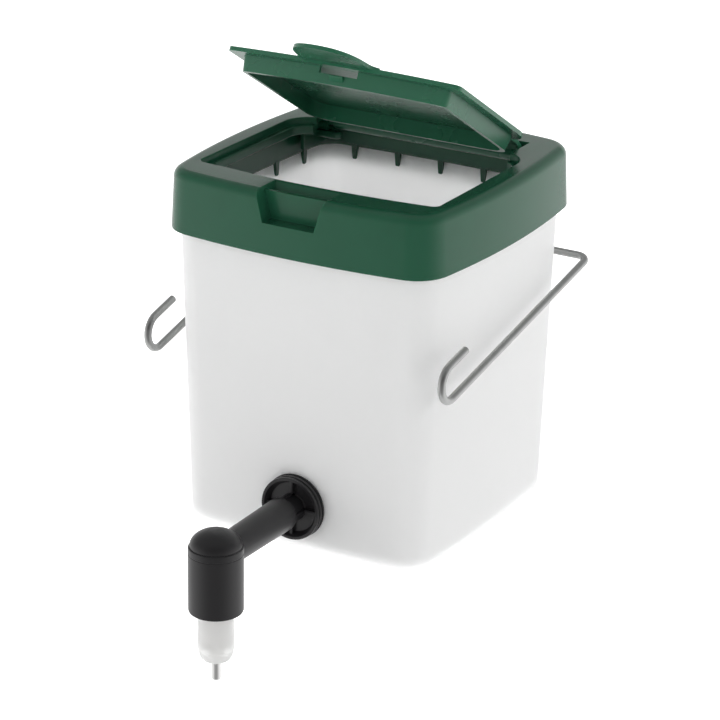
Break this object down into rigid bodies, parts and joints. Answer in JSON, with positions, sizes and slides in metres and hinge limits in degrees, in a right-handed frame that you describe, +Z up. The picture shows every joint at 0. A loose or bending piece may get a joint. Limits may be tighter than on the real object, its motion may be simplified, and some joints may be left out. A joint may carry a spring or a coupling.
{
  "type": "hanging small-animal drinker",
  "caption": "Hanging drinker for a rabbit: translucent tank, clip-on lid collar with a hinged filling hatch, elbow spout with a nipple valve, and a bent wire hanger that hooks on to a cage.",
  "frame": {"origin": "midway between the bends of the two hanger hooks, where the drinker hangs on the cage", "axes": "+Z up along the tank, +Y away from the cage towards the hatch hinge, -Y out of the tank's front wall along the spout, X across with the hooks at both sides"},
  "size_m": [0.1182, 0.1665, 0.2047],
  "materials": {
    "tank_plastic": "satin, translucent",
    "lid_plastic": "satin moulded",
    "spout_plastic": "satin moulded",
    "seal_rubber": "matt",
    "nipple_plastic": "translucent",
    "core_plastic": "moulded",
    "valve_rubber": "matt",
    "pin_steel": "stainless",
    "hanger_wire": "galvanised"
  },
  "bodies": {
    "tank": {"tank": "tank_plastic", "outer_gasket": "seal_rubber", "inner_washer": "seal_rubber"},
    "lid": {"lid_collar": "lid_plastic"},
    "hatch": {"hatch": "lid_plastic"},
    "hanger": {"wire_hanger": "hanger_wire"},
    "spout": {"spout_tube": "spout_plastic", "lock_nut": "spout_plastic", "elbow_housing": "spout_plastic", "nipple_sleeve": "nipple_plastic", "nipple_o_ring": "seal_rubber", "valve_core": "core_plastic", "valve_seal": "valve_rubber", "valve_spring": "pin_steel", "spring_plate": "spout_plastic"},
    "trigger": {"trigger_pin": "pin_steel"}
  },
  "joints": [
    {"name": "lid_lift", "type": "slide", "parent": "tank", "child": "lid", "axis": [0, 0, 1], "range_m": [0, 0.05]},
    {"name": "hatch_hinge", "type": "hinge", "parent": "lid", "child": "hatch", "pos_m": [0, 0.08519, 0.05471], "axis": [-1, 0, 0], "range_deg": [-30.5, 53]},
    {"name": "hanger_swing", "type": "hinge", "parent": "tank", "child": "hanger", "pos_m": [0, 0.10029, 0.01672], "axis": [1, 0, 0], "range_deg": [-75, 75]},
    {"name": "spout_turn", "type": "hinge", "parent": "tank", "child": "spout", "pos_m": [0.0008, -0.00521, -0.05348], "axis": [0, -1, 0], "range_deg": [-60, 60]},
    {"name": "trigger_press", "type": "slide", "parent": "spout", "child": "trigger", "axis": [0, 0, 1], "range_m": [0, 0.002], "stiffness_N_per_m": 200, "springref_m": -0.001, "deforming": ["valve_spring"]}
  ]
}
